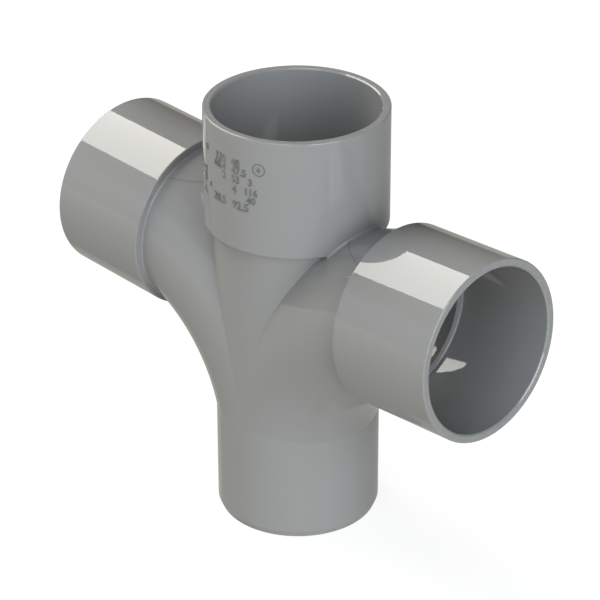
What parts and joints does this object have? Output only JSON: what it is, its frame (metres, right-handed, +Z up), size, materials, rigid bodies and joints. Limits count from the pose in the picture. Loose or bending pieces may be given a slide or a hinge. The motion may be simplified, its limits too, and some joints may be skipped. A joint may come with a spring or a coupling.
{
  "type": "cross tee",
  "caption": "Swept cross tee for plastic waste pipe: a vertical run with a plain spigot below, a socket above and a swept branch socket on either side.",
  "frame": {"origin": "centre of the spigot's end face, on the surface that the fitting stands on", "axes": "+Z up the run towards the top socket, +X along the right-hand branch, which rises 2.5 degrees towards its mouth, +Y to the back"},
  "size_m": [0.1356, 0.0476, 0.1159],
  "materials": {
    "grey_moulding": "smooth glossy grey moulded plastic"
  },
  "bodies": {
    "root": {"tee_body": "grey_moulding"}
  },
  "joints": []
}
